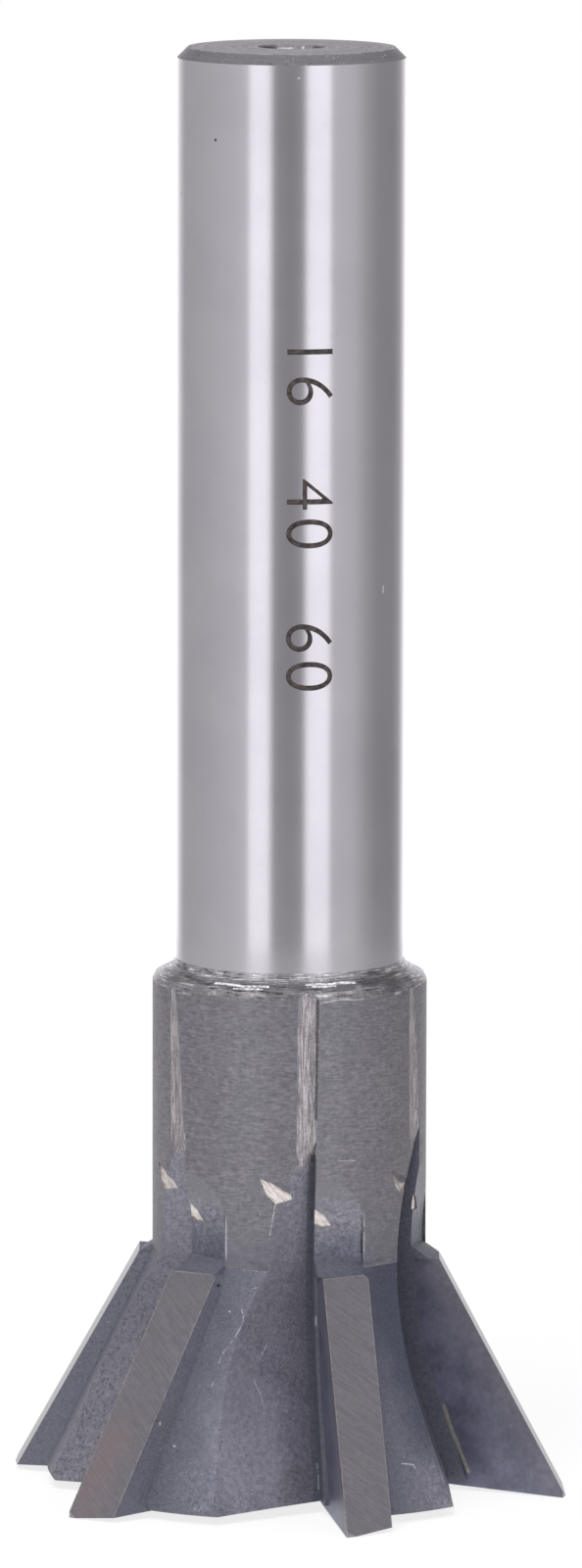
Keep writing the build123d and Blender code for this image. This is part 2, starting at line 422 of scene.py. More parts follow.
# what each effect can be given, with what it takes otherwise; lengths in mm
mottleDefaults = {"Patch Size": 2.0, "Pit Size": 0.25, "Pits": 0.3, "Flecks": 0.2}
turningDefaults = {"Line Size": 0.12, "Break Size": 4.0}
toothSidesDefaults = {"First Tooth": teeth["first"], "Pitch": 360 / teeth["count"]}
grindingDefaults = {"Angle": 0.0, "Line Size": 0.12, "Line Length": 3.0}
markDefaults = {
    "Place": (0, 0, 0), "From": (0, 0, 0), "To": (0, 0, 1), "Width": 0.06, "Wander": 0.3, "Broken": 1.0,
}
edgeWearAndGlintDefaults = {"Low": (0, 0, 0), "High": (1, 1, 0), "Width": 0.08}
mottleGroup = makeEffect("mottle", mottleDefaults, buildMottle)
turningGroup = makeEffect("turningLines", turningDefaults, buildTurningLines)
toothSidesGroup = makeEffect("toothSides", toothSidesDefaults, buildToothSides)
grindingGroup = makeEffect("grindingLines", grindingDefaults, buildGrindingLines)
markGroup = makeEffect("mark", markDefaults, buildMark)
edgeWearAndGlintGroup = makeEffect("edgeWearAndGlint", edgeWearAndGlintDefaults, buildEdgeWearAndGlint)
print("shared effects made")


# colours, roughness and texture of every finish; lengths in mm, bump depth in m
turnedSurface = {
    "roughness": (0.42, 0.56), "pit": (0.06, 0.06, 0.07), "fleck": (0.6, 0.58, 0.6), "bump": 0.00001,
    "mottle": {"Patch Size": 3.0, "Pit Size": 0.16, "Pits": 0.6, "Flecks": 0.36},
    "turning": {"Line Size": 0.14, "Break Size": 0.7},
    "waves": 5.0,  # how far the edges of its shades wander up and down
    "upLimits": (17.2, 18.0, 19.6, 21.2),  # where the line up the relief's wall starts and ends
    "lineLimits": (0.04, 0.09),
}

finishes = {
    "groundShank": {
        "roughness": (0.12, 0.2), "color": (0.505, 0.49, 0.52), "dull": (0.465, 0.455, 0.485),
        "foot": (0.3, 0.29, 0.31), "pit": (0.12, 0.11, 0.12), "dot": (0.08, 0.075, 0.08),
        "dent": (0.9, 0.9, 0.92), "mottle": {"Patch Size": 9.0, "Pit Size": 0.22, "Pits": 0.28},
        "turning": {"Line Size": 0.09, "Break Size": 3.0},
        "footLimits": (37.0, 39.6), "bump": 0.000004, "bumpStrength": 0.5,
    },
    "turnedEnd": {
        "roughness": (0.45, 0.6), "color": (0.64, 0.615, 0.66), "dull": (0.41, 0.395, 0.425),
        "edge": (0.34, 0.325, 0.35), "worn": (0.75, 0.73, 0.76), "pit": (0.06, 0.058, 0.063),
        "hole": (0.05, 0.045, 0.05), "glint": (0.95, 0.9, 0.9), "fleck": (0.8, 0.78, 0.8),
        "mottle": {"Patch Size": 1.5, "Pit Size": 0.16, "Pits": 0.66, "Flecks": 0.58},
        "turning": {"Line Size": 0.14, "Break Size": 9.0},
        # the centre hole's limits and its lighter middle: painted shade and reflection
        "cornerRadius": 7.26, "chamferLimits": (7.22, 7.34), "holeLimits": (2.3, 2.42), "seatX": 0.2,
        "cornerLimits": (0.03, 0.09), "seatLimits": (0.9, 1.6), "bump": 0.00001,
    },
    "roughShoulder": {
        "roughness": (0.22, 0.38), "color": (0.4, 0.383, 0.407), "dull": (0.13, 0.125, 0.137),
        # streaks and strokes: partly the metal's own marks, partly painted highlights
        "streak": (0.95, 0.92, 0.94), "stroke": (0.95, 0.93, 0.95), "stain": (0.1, 0.096, 0.106),
        "line": (0.04, 0.038, 0.042), "fleck": (0.75, 0.72, 0.71), "pit": (0.03, 0.03, 0.035),
        "mottle": {"Patch Size": 0.9, "Pit Size": 0.2, "Pits": 0.5, "Flecks": 0.34},
        "turning": {"Line Size": 0.22, "Break Size": 1.6},
        "rimLimits": (9.4, 9.65), "bump": 0.001, "bumpStrength": 1.0,
        # where the rounding begins, how wide it is and how high or low it goes
        "inner": (8.8, 0.8, 0.32), "outer": (9.0, 0.7, 0.28),
    },
    "turnedCollar": {
        **turnedSurface, "color": (0.27, 0.262, 0.284), "dull": (0.187, 0.182, 0.203),
        "low": (0.15, 0.153, 0.185), "rim": (0.62, 0.6, 0.63), "torn": (0.05, 0.05, 0.062),
        "scratch": (0.5, 0.49, 0.5), "edge": (0.5, 0.49, 0.53),
        "strokes": {"Line Size": 0.3, "Break Size": 2.4}, "rimLimits": (35.96, 36.04), "edgeThrough": 3.71,
        "tornLimits": (18.8, 21.2), "lowLimits": (19.5, 24.5),
    },
    "stainedRelief": {
        **turnedSurface, "roughness": (0.42, 0.58), "color": (0.3, 0.295, 0.33),
        "dull": (0.225, 0.222, 0.256), "low": (0.13, 0.134, 0.172), "high": (0.235, 0.228, 0.252),
        "edge": (0.03, 0.03, 0.036), "edgeThrough": 3.53,
        "lowLimits": (19.8, 24.0), "highLimits": (23.0, 25.2),
    },
    "darkFlute": {
        "metallic": 0.45, "roughness": (0.42, 0.62),
        "color": (0.228, 0.223, 0.27), "dull": (0.148, 0.148, 0.188),
        "low": (0.205, 0.194, 0.213), "dark": (0.108, 0.112, 0.143), "navy": (0.052, 0.06, 0.086),
        "smooth": (0.26, 0.255, 0.302), "upper": (0.27, 0.265, 0.303), "grain": (0.3, 0.293, 0.325),
        "pit": (0.03, 0.03, 0.035), "fleck": (0.55, 0.55, 0.6), "nick": (0.6, 0.59, 0.62),
        "scratch": (0.55, 0.55, 0.58), "dot": (0.01, 0.01, 0.012),
        "mottle": {"Patch Size": 2.6, "Pit Size": 0.24, "Pits": 0.5, "Flecks": 0.26},
        "wide": {"Patch Size": 7.0, "Pit Size": 0.22, "Pits": 0.92, "Flecks": 0.3},
        "upperLimits": (14.3, 18.0), "pittedLimits": (2.0, 11.0), "nickLimits": (-0.75, -0.6),
        # the painted shade beside the teeth: how far it wanders, where it ends and how strong it is
        "waves": 2.4, "backLimits": (4.6, 9.6), "cornerLimits": (-3.2, -1.1), "tipHeight": 16.2,
        "tipLimits": (0.4, 1.8), "cornerShade": 0.5, "backShade": 0.92, "bump": 0.00003,
    },
    "groundRake": {
        "metallic": 0.6, "roughness": (0.35, 0.5),
        "color": (0.182, 0.188, 0.262), "dull": (0.12, 0.124, 0.178),
        "low": (0.165, 0.155, 0.17), "dark": (0.05, 0.05, 0.058), "beige": (0.36, 0.33, 0.28),
        "pit": (0.04, 0.04, 0.045), "fleck": (0.6, 0.6, 0.62),
        "mottle": {"Patch Size": 2.6, "Pit Size": 0.2, "Pits": 0.36, "Flecks": 0.26},
        "grinding": {"Angle": 1.05, "Line Size": 0.1, "Line Length": 4.0},
        "edgeRadius": 20.707, "edgeLean": 0.57735, "rimLimits": (1.5, 5.5), "bump": 0.000012,
    },
    "groundLand": {
        "roughness": (0.22, 0.34), "color": (0.306, 0.287, 0.316), "dull": (0.245, 0.23, 0.255),
        "heat": (0.35, 0.275, 0.262), "fleck": (0.7, 0.68, 0.68), "wear": (0.6, 0.58, 0.58),
        "mottle": {"Patch Size": 4.0, "Pit Size": 0.16, "Flecks": 0.24},
        "grinding": {"Angle": 0.62, "Line Size": 0.13, "Line Length": 2.6},
        # worn: the box whose edges get the bright line, partly wear and partly painted highlight
        "worn": {"Low": (0.37, -1.0, 0.0), "High": (3.82, 16.5, 0.0), "Width": 0.1}, "bump": 0.000004,
    },
    "groundStrip": {
        "roughness": (0.3, 0.45), "color": (0.485, 0.452, 0.472), "dull": (0.195, 0.18, 0.192),
        "frayed": (0.27, 0.262, 0.284), "line": (0.1, 0.095, 0.1), "mottle": {"Patch Size": 1.0},
        "grinding": {"Angle": 1.5708, "Line Size": 0.1, "Line Length": 2.0}, "bump": 0.00002,
    },
    "freshChip": {
        "roughness": (0.35, 0.5), "color": (0.85, 0.81, 0.77), "dull": (0.5, 0.45, 0.42),
        "mottle": {"Patch Size": 0.5},
        "grinding": {"Angle": 0.75, "Line Size": 0.12, "Line Length": 1.2}, "bump": 0.00004,
    },
    "engravedMark": {
        "roughness": (0.5, 0.65), "color": (0.14, 0.122, 0.115), "dull": (0.06, 0.053, 0.052),
        "mottle": {"Patch Size": 0.4}, "bump": 0.00002,
    },
}


def makeFinish(name, paint):
    values = finishes[name]
    material = bpy.data.materials.new(name)
    material.use_nodes = True
    tree = Tree(material.node_tree, values)
    mottle = tree.use(mottleGroup, values["mottle"])
    lines = None
    for kind, group in (("turning", turningGroup), ("grinding", grindingGroup)):
        if kind in values:
            lines = tree.use(group, values[kind])["Line"]
    polish, height = paint(tree, values, mottle, lines, placeInMm(tree))
    inputs = tree.nodes["Principled BSDF"].inputs
    tree.feed(inputs["Base Color"], tree.color)
    if not inputs["Metallic"].is_linked:
        tree.feed(inputs["Metallic"], values.get("metallic", 1.0))
    low, high = values["roughness"]
    tree.feed(inputs["Roughness"], tree.scaleAdd(polish, high - low, low, clamp=True))
    strength = values.get("bumpStrength", 0.6)
    bump = tree.add("ShaderNodeBump", {"Height": height, "Strength": strength, "Distance": values["bump"]})
    tree.feed(inputs["Normal"], bump.outputs[0])
    return material


# each mark: its points in mm, its width, how far it wanders and how broken it is
def dot(x, y, z, width):
    return ((x, y, z), (x, y, z)), width, 0.0, 0.0


# marks that the photograph shows on the shank
shankDarkDots = (dot(-5.27, -6.0, 95.94, 0.16), dot(-7.69, -2.18, 91.85, 0.14))
shankBrightDents = (
    (((6.48, -4.69, 64.6), (6.47, -4.7, 64.2)), 0.12, 0.1, 0.0),
    dot(0.5, -7.98, 100.4, 0.13),
)


# each painter lays its finish's colours and gives its roughness and its height
def paintGroundShank(tree, values, mottle, lines, place):
    tree.base(mottle["Patch"], 0.35, 0.68, "color", "dull")
    tree.cover(mottle["Grain"], "dull", 0.16)
    tree.cover(mottle["Pit"], "pit", 0.6)
    tree.marked(place, shankDarkDots, "dot")
    tree.marked(place, shankBrightDents, "dent")
    # it is rougher just above the shoulder
    up = tree.scaleAdd(mottle["Grain"], -1.5, tree.split(place)["Z"])
    foot = tree.step(up, *values["footLimits"], 1.0, 0.0)
    tree.cover(foot, "foot", 0.1)
    polish = tree.scaleAdd(foot, 0.9, mottle["Grain"])
    return polish, tree.plus(tree.times(lines, 0.5), tree.times(mottle["Grain"], 0.5))


# painted reflections: two bright glints on the far wall of the centre hole
paintedHoleGlints = (
    (((-0.85, 2.08, 101.72), (0.05, 2.24, 101.72)), 0.2, 0.3, 0.4),
    (((0.78, 2.1, 101.8), (0.78, 2.1, 101.6)), 0.17, 0.0, 0.0),
)


def paintTurnedEnd(tree, values, mottle, lines, place):
    radius = tree.fromAxis(place)
    tree.base(lines, 0.35, 0.65)
    tree.cover(tree.step(mottle["Patch"], 0.4, 0.7, 0.0, 0.5), "dull")
    tree.varied(mottle["Speckle"], 0.84, 1.16)
    tree.cover(tree.step(radius, *values["chamferLimits"], 0.0, 0.8), "edge")
    corner = tree.step(tree.apart(radius, values["cornerRadius"]), *values["cornerLimits"], 1.0, 0.0)
    worn = tree.times(corner, tree.step(mottle["Patch"], 0.48, 0.56))
    tree.cover(worn, "worn", 0.7)
    tree.cover(mottle["Pit"], "pit", 0.6)
    # painted shade and reflection: the centre hole is painted dark at both sides and lighter between them
    aside = tree.step(tree.apart(tree.split(place)["X"], values["seatX"]), *values["seatLimits"], 0.3, 1.0)
    tree.cover(tree.step(radius, *values["holeLimits"], 0.7, 0.0), "hole", aside)
    # painted reflections on the far wall of the hole
    tree.marked(place, paintedHoleGlints, "glint")
    tree.cover(mottle["Fleck"], "fleck")
    return mottle["Grain"], tree.plus(lines, tree.times(mottle["Pit"], -0.6))


# bright strokes on the shoulder: partly torn metal, partly painted highlights
shoulderTornAndLitStrokes = (
    (((-5.21, -7.18, 36.86), (-3.32, -8.23, 36.86), (-1.54, -8.74, 36.86)), 0.2, 0.4, 0.5),
    (((-3.9, -8.32, 36.69), (-1.9, -8.99, 36.69)), 0.14, 0.4, 0.7),
    (((1.2, -8.57, 36.97), (2.9, -8.15, 36.97), (4.5, -7.39, 36.97)), 0.16, 0.4, 0.6),
    (((1.6, -8.72, 36.86), (3.2, -8.27, 36.86)), 0.14, 0.4, 0.6),
)
shoulderDarkLine = ((((-5.55, -7.65, 36.55), (-3.54, -8.76, 36.55), (-0.5, -9.44, 36.55)), 0.09, 0.3, 0.6),)
# a darker patch on the right of the shoulder
shoulderDarkPatch = ((((5.7, -6.8, 36.85), (6.9, -5.5, 36.85)), 1.5, 0.8, 0.0),)


def paintRoughShoulder(tree, values, mottle, lines, place):
    radius = tree.fromAxis(place)
    mixed = tree.plus(tree.times(lines, 0.7), tree.times(mottle["Patch"], 0.3))
    tree.base(mixed, 0.38, 0.48)
    # bright streaks along the turning lines: partly the surface's own lines, partly painted highlights
    tree.cover(tree.step(mixed, 0.55, 0.61), "streak")
    tree.cover(tree.step(radius, *values["rimLimits"], 0.0, 0.5), "dull")
    tree.marked(place, shoulderDarkPatch, "stain", 0.6)
    strokes = tree.marks(place, shoulderTornAndLitStrokes)
    tree.cover(strokes, "stroke")
    # torn metal scatters light like a dull white; the strokes are partly painted highlights
    tree.feed(tree.nodes["Principled BSDF"].inputs["Metallic"], tree.scaleAdd(strokes, -0.7, 1.0))
    tree.marked(place, shoulderDarkLine, "line")
    tree.varied(mottle["Speckle"], 0.8, 1.2)
    tree.cover(mottle["Fleck"], "fleck")
    tree.cover(mottle["Pit"], "pit", 0.7)
    # it rounds off towards the shank and the collar
    start, width, rise = values["inner"]
    inner = tree.over(tree.minus(start, radius), width, clamp=True)
    shape = tree.times(tree.times(inner, inner), rise)
    start, width, drop = values["outer"]
    outer = tree.over(tree.minus(radius, start), width, clamp=True)
    shape = tree.minus(shape, tree.times(tree.times(outer, outer), drop))
    return mottle["Grain"], tree.scaleAdd(mixed, 0.08, shape)


# bright scratches on the collar: two short ones, and the sharp ridge under the chip
collarScratches = (
    (((2.94, -9.24, 25.63), (3.69, -8.97, 25.58)), 0.05, 0.3, 0.9),
    (((3.42, -9.08, 24.62), (4.59, -8.54, 24.53)), 0.05, 0.3, 0.9),
    (((-0.93, -9.65, 21.58), (-1.1, -9.64, 20.81), (-1.37, -9.6, 19.41)), 0.06, 0.3, 0.6),
)
collarRim = (
    (((1.95, -9.5, 35.86), (3.6, -9.01, 35.98), (5.2, -8.19, 35.99)), 0.09, 0.4, 0.5),
    (((-7.9, -5.63, 35.95), (-6.9, -6.82, 35.95)), 0.07, 0.25, 0.6),
)


def reliefLine(tree, values, height):
    # a thin uneven line up the wall of the relief
    gap = tree.apart(tree.use(toothSidesGroup)["Past"], values["edgeThrough"])
    start, full, fading, end = values["upLimits"]
    ends = tree.times(tree.step(height, start, full), tree.step(height, fading, end, 1.0, 0.0))
    whole = tree.step(tree.noise(placeInMm(tree), 2.0, 3.0, 0.7), 0.42, 0.54, 0.1, 0.7)
    return tree.times(tree.times(tree.step(gap, *values["lineLimits"], 1.0, 0.0), ends), whole)


def collarLayers(tree, values, mottle, place, height, wavy):
    tree.varied(mottle["Speckle"], 0.88, 1.12)
    tree.varied(mottle["Grain"], 0.94, 1.06)
    # bright broken rim at the top, torn strokes at the foot
    uneven = tree.noise(place, 0.45, 4.0, 0.75)
    rimHeight = tree.scaleAdd(mottle["Grain"], 0.16, height)
    rim = tree.times(tree.step(rimHeight, *values["rimLimits"]), tree.step(uneven, 0.58, 0.66))
    rim = tree.larger(rim, tree.marks(place, collarRim))
    tree.cover(rim, "rim", 0.7)
    strokes = tree.use(turningGroup, values["strokes"])["Line"]
    torn = tree.times(tree.step(wavy, *values["tornLimits"], 1.0, 0.0), tree.step(strokes, 0.5, 0.6))
    tree.cover(torn, "torn", 0.6)
    tree.cover(tree.step(wavy, *values["lowLimits"], 0.5, 0.0), "low")
    tree.marked(place, collarScratches, "scratch")


def reliefLayers(tree, values, mottle, place, height, wavy):
    tree.cover(tree.step(wavy, *values["lowLimits"], 0.95, 0.0), "low")
    tree.varied(mottle["Speckle"], 0.8, 1.22)
    tree.varied(mottle["Grain"], 0.84, 1.18)
    tree.cover(tree.step(wavy, *values["highLimits"], 0.0, 0.8), "high")


def paintTurned(paint, tree, values, mottle, lines, place):
    height = tree.split(place)["Z"]
    wavy = tree.scaleAdd(mottle["Patch"], values["waves"], height)
    tree.base(lines, 0.34, 0.66)
    tree.cover(tree.step(mottle["Patch"], 0.35, 0.7, 0.0, 0.4), "dull")
    paint(tree, values, mottle, place, height, wavy)
    tree.cover(reliefLine(tree, values, height), "edge")
    tree.cover(mottle["Pit"], "pit", 0.5)
    tree.cover(mottle["Fleck"], "fleck", 0.5)
    return mottle["Grain"], tree.plus(lines, tree.times(mottle["Pit"], -0.5))


def paintTurnedCollar(*given):
    return paintTurned(collarLayers, *given)


def paintStainedRelief(*given):
    return paintTurned(reliefLayers, *given)


# where the flutes beside the front tooth are lighter, darker, pitted or scratched
# a smoother patch laid lighter: finer grain, and painted light where the flute rounds
fluteLitSmoothPatch = ((((-3.0, -13.2, 3.8), (-3.4, -12.2, 7.5)), 4.6, 2.0, 0.0),)
flutePittedPatch = ((((-10.5, -3.6, 14.0), (-13.5, -4.5, 3.0)), 7.0, 2.0, 0.0),)
fluteNavyPatch = ((((8.0, -7.4, 15.5), (9.4, -9.0, 5.0)), 5.0, 1.0, 0.0),)
fluteScratches = (
    (
        ((-3.31, -10.35, 14.31), (-3.19, -10.85, 13.36), (-4.56, -11.42, 11.25),
         (-5.41, -12.11, 9.18), (-5.91, -12.74, 7.56)),
        0.055, 0.5, 0.95,
    ),
    (
        ((-1.47, -10.1, 11.82), (-2.21, -10.88, 10.34), (-2.38, -11.24, 9.36), (-2.09, -11.34, 8.57),
         (-1.81, -11.43, 7.83)),
        0.06, 0.4, 0.8,
    ),
    (((-4.12, -8.77, 17.43), (-3.16, -9.17, 16.81), (-1.64, -9.61, 16.68)), 0.06, 0.6, 0.9),
    (((-3.65, -9.64, 15.5), (-1.94, -9.92, 15.69)), 0.06, 0.8, 1.0),
    (((1.9, -9.28, 13.55), (1.91, -9.36, 12.94)), 0.1, 0.2, 1.0),
    (((1.98, -10.86, 3.36), (2.1, -11.49, 1.6)), 0.07, 0.2, 0.9),
    (((7.92, -13.61, 3.93), (8.72, -13.18, 3.78), (8.89, -13.23, 3.5)), 0.06, 0.2, 0.4),
    dot(-4.16, -10.17, 14.04, 0.11),
    (((-9.0, -12.76, 6.62), (-9.0, -12.76, 6.5)), 0.11, 0.0, 0.0),
    (((-8.02, -12.95, 5.01), (-7.9, -12.98, 4.95)), 0.12, 0.0, 0.0),
)
fluteDarkDots = (dot(-4.96, -9.32, 15.73, 0.18),)


def flutePaintedShade(tree, values, sides, wide, above, height):
    # painted shade: the corner in front of each tooth, the back behind it and a band at its upper end are
    # painted dark
    wave = tree.scaleAdd(wide["Patch"], values["waves"], -values["waves"] / 2)
    lowered = tree.scaleAdd(above, -1.7, tree.plus(sides["Short"], wave))
    back = tree.step(tree.plus(sides["Past"], wave), *values["backLimits"], 0.9, 0.0)
    level = tree.apart(tree.plus(height, tree.times(wave, 0.6)), values["tipHeight"])
    back = tree.larger(back, tree.step(level, *values["tipLimits"], 0.5, 0.0))
    corner = tree.times(tree.step(lowered, *values["cornerLimits"]), values["cornerShade"])
    return tree.larger(corner, tree.times(back, values["backShade"]))


def paintDarkFlute(tree, values, mottle, lines, place):
    wide = tree.use(mottleGroup, values["wide"])
    sides = tree.use(toothSidesGroup)
    height = tree.split(place)["Z"]
    above = tree.step(height, *values["upperLimits"])
    smooth = tree.marks(place, fluteLitSmoothPatch)
    pitted = tree.marks(place, flutePittedPatch)
    grain = tree.blend(tree.times(smooth, 0.75), mottle["Grain"], 0.5)
    tree.base(mottle["Patch"], 0.34, 0.66, "color", "dull")
    tree.cover(tree.step(wide["Patch"], 0.45, 0.62, 0.0, 0.6), "low")
    # painted light: the smooth patch is laid lighter
    tree.cover(smooth, "smooth", 0.7)
    tree.cover(above, "upper", 0.75)
    tree.cover(tree.step(grain, 0.46, 0.66, 0.0, 0.35), "grain")
    tree.cover(tree.step(grain, 0.34, 0.48, 0.3, 0.0), "dark")
    tree.cover(pitted, "low", 0.7)
    tree.cover(pitted, "dull", tree.step(height, *values["pittedLimits"], 0.5, 0.0))
    tree.varied(mottle["Speckle"], 0.8, 1.24)
    tree.cover(flutePaintedShade(tree, values, sides, wide, above, height), "dark")
    tree.marked(place, fluteNavyPatch, "navy", 0.93)
    tree.varied(grain, 0.88, 1.18)
    pits = tree.scaleAdd(tree.times(wide["Pit"], pitted), 0.7, mottle["Pit"], clamp=True)
    tree.cover(pits, "pit", 0.6)
    flecks = tree.plus(mottle["Fleck"], tree.times(wide["Fleck"], 0.8), clamp=True)
    tree.cover(flecks, "fleck", 0.6)
    # the bottom edge is nicked bright here and there
    foot = tree.scaleAdd(mottle["Grain"], -1.6, height)
    low = tree.step(foot, *values["nickLimits"], 1.0, 0.0)
    nicks = tree.times(low, tree.step(mottle["Patch"], 0.46, 0.54))
    tree.cover(nicks, "nick", 0.5)
    tree.marked(place, fluteScratches, "scratch", 0.7)
    tree.marked(place, fluteDarkDots, "dot")
    return mottle["Grain"], tree.plus(mottle["Grain"], tree.times(pits, -0.8))


# on the rake's flat map: distance from the axis, height
rakeBeigeStreak = ((((11.5, 6.0, 0.0), (12.1, 4.4, 0.0), (13.4, 1.4, 0.0)), 0.2, 0.2, 0.5),)
rakeDarkStreak = ((((11.2, 6.2, 0.0), (11.8, 4.4, 0.0), (13.1, 1.2, 0.0)), 0.2, 0.1, 0.0),)


def paintGroundRake(tree, values, mottle, lines, place):
    flat = flatPlace(tree)
    parts = tree.split(flat)
    edge = tree.scaleAdd(parts["Y"], values["edgeLean"], parts["X"])
    inset = tree.minus(values["edgeRadius"], edge)
    wavy = tree.scaleAdd(mottle["Patch"], 3.0, inset)
    tree.base(mottle["Patch"], 0.36, 0.64, "color", "dull")
    tree.cover(tree.step(wavy, *values["rimLimits"], 0.6, 0.0), "low")
    tree.varied(mottle["Speckle"], 0.88, 1.12)
    tree.cover(tree.step(lines, 0.42, 0.66, 0.0, 0.25), "low")
    tree.marked(flat, rakeDarkStreak, "dark")
    tree.marked(flat, rakeBeigeStreak, "beige")
    tree.cover(mottle["Pit"], "pit", 0.5)
    tree.cover(mottle["Fleck"], "fleck", 0.6)
    return mottle["Grain"], lines


landHeatPatch = ((((-14.2, -13.0, 1.0), (-12.6, -12.4, 5.5)), 2.6, 2.0, 0.0),)


def paintGroundLand(tree, values, mottle, lines, place):
    tree.base(lines, 0.32, 0.68)
    tree.varied(mottle["Speckle"], 0.93, 1.07)
    tree.cover(tree.step(mottle["Patch"], 0.4, 0.65, 0.0, 0.3), "dull")
    tree.marked(place, landHeatPatch, "heat", 0.38)
    tree.cover(mottle["Fleck"], "fleck", 0.6)
    # bright line along the land's edges: partly wear, partly painted highlight
    tree.cover(tree.use(edgeWearAndGlintGroup, values["worn"])["Mask"], "wear", 0.35)
    return mottle["Grain"], lines


# the broad strip in front: its middle and half width at its foot, and how they change up it
broadStrip = {
    "x": 1.25, "low": 25.2, "rise": 12.0, "middle": -0.55, "lean": 0.19,
    "half": 0.72, "widening": 0.1, "narrowing": 0.42,
    "sideLimits": (1.7, 1.9), "frontLimits": (-6.0, -5.0), "topLimits": (33.2, 37.0),
}
stripDarkLine = ((((0.13, 27.6, 0.0), (0.26, 36.0, 0.0)), 0.16, 0.15, 0.3),)


def frayedSides(tree, values):
    # that strip is ragged at its sides and narrower at its top
    place = placeInMm(tree)
    here = tree.split(place)
    aside = tree.step(tree.apart(here["X"], values["x"]), *values["sideLimits"], 1.0, 0.0)
    front = tree.times(aside, tree.step(here["Y"], *values["frontLimits"], 1.0, 0.0))
    share = tree.over(tree.minus(here["Z"], values["low"]), values["rise"], clamp=True)
    middle = tree.scaleAdd(share, values["lean"], values["middle"])
    half = tree.scaleAdd(share, values["widening"], values["half"])
    half = tree.plus(half, tree.step(here["Z"], *values["topLimits"], 0.0, -values["narrowing"]))
    gap = tree.minus(half, tree.apart(tree.split(flatPlace(tree))["X"], middle))
    ragged = tree.plus(gap, tree.minus(tree.noise(place, 1.4, 4.0, 0.75), 0.56))
    return tree.times(front, tree.step(ragged, -0.05, 0.05, 1.0, 0.0))


def paintGroundStrip(tree, values, mottle, lines, place):
    tree.base(lines, 0.38, 0.62)
    tree.cover(tree.step(mottle["Patch"], 0.5, 0.75, 0.0, 0.5), "dull")
    tree.varied(mottle["Grain"], 0.85, 1.2)
    tree.cover(frayedSides(tree, broadStrip), "frayed")
    tree.marked(flatPlace(tree), stripDarkLine, "line")
    return mottle["Grain"], lines


def paintFreshChip(tree, values, mottle, lines, place):
    tree.base(lines, 0.36, 0.62)
    tree.cover(tree.step(mottle["Patch"], 0.5, 0.7, 0.0, 0.6), "dull")
    return mottle["Grain"], mottle["Patch"]


def paintEngravedMark(tree, values, mottle, lines, place):
    tree.base(mottle["Patch"], 0.35, 0.65, "color", "dull")
    return mottle["Grain"], mottle["Grain"]


finishPainters = {
    "groundShank": paintGroundShank,
    "turnedEnd": paintTurnedEnd,
    "roughShoulder": paintRoughShoulder,
    "turnedCollar": paintTurnedCollar,
    "stainedRelief": paintStainedRelief,
    "darkFlute": paintDarkFlute,
    "groundRake": paintGroundRake,
    "groundLand": paintGroundLand,
    "groundStrip": paintGroundStrip,
    "freshChip": paintFreshChip,
    "engravedMark": paintEngravedMark,
}
finishMaterials = [makeFinish(name, paint) for name, paint in finishPainters.items()]
finishSlot = {material.name: index for index, material in enumerate(finishMaterials)}
print("finishes made")


def newPiece(name, bm):
    mesh = bpy.data.meshes.new(name)
    bm.to_mesh(mesh)
    bm.free()
    for material in finishMaterials:
        mesh.materials.append(material)
    piece = bpy.data.objects.new(name, mesh)
    scene.collection.objects.link(piece)
    return piece


# cutting end: the CAD's own shape, each face with its own finish
cutterSettings = {
    "sector": 36.5,  # degrees; a tooth's own part of the body begins this far before it
    "shoulderBase": 36.05,
    "shankBase": 37.658,
    "collarRadius": 9.7,
    "cuttingRadius": 20.45,
    "edgeRadius": 20.7067,  # where the land would reach the floor without its flat tip
    "rakeFace": 0.37,  # how far it lies behind the tooth's own line
    "landClearance": 20.0,
    "dovetailAngle": 60.0,
    "near": 0.03,  # how far a point of a surface may lie off it
    "smoothEdge": 8.0,  # degrees between faces under which an edge is drawn smooth
    # details by their boxes beside a tooth (out, through, up) and the way a chip's floor faces
    "fluteChip": {"low": (8.7, -3.85, 21.4), "high": (9.8, -1.35, 23.6), "facing": (0.97, 0.06, 0.23)},
    "wallChip": {"low": (8.7, 0.05, 19.8), "high": (9.8, 1.5, 21.2), "facing": (0.99, 0.08, -0.12)},
    "strip": {"low": (8.8, -1.95, 24.0), "high": (9.8, 0.65, 36.75)},
    "relief": {"low": (8.0, 0.1, 17.3), "high": (9.8, 3.9, 23.8)},
    "reliefWall": {"low": (8.0, 3.0, 16.3), "high": (9.8, 3.9, 23.8)},
}


def toothFrame(point):
    # directions out along the tooth and through its thickness
    pitch = 360 / teeth["count"]
    angle = math.degrees(math.atan2(point.x, -point.y)) - teeth["first"]
    tooth = math.floor((angle + cutterSettings["sector"]) / pitch)
    theta = math.radians(teeth["first"] + tooth * pitch)
    return Vector((math.sin(theta), -math.cos(theta), 0)), Vector((math.cos(theta), math.sin(theta), 0))


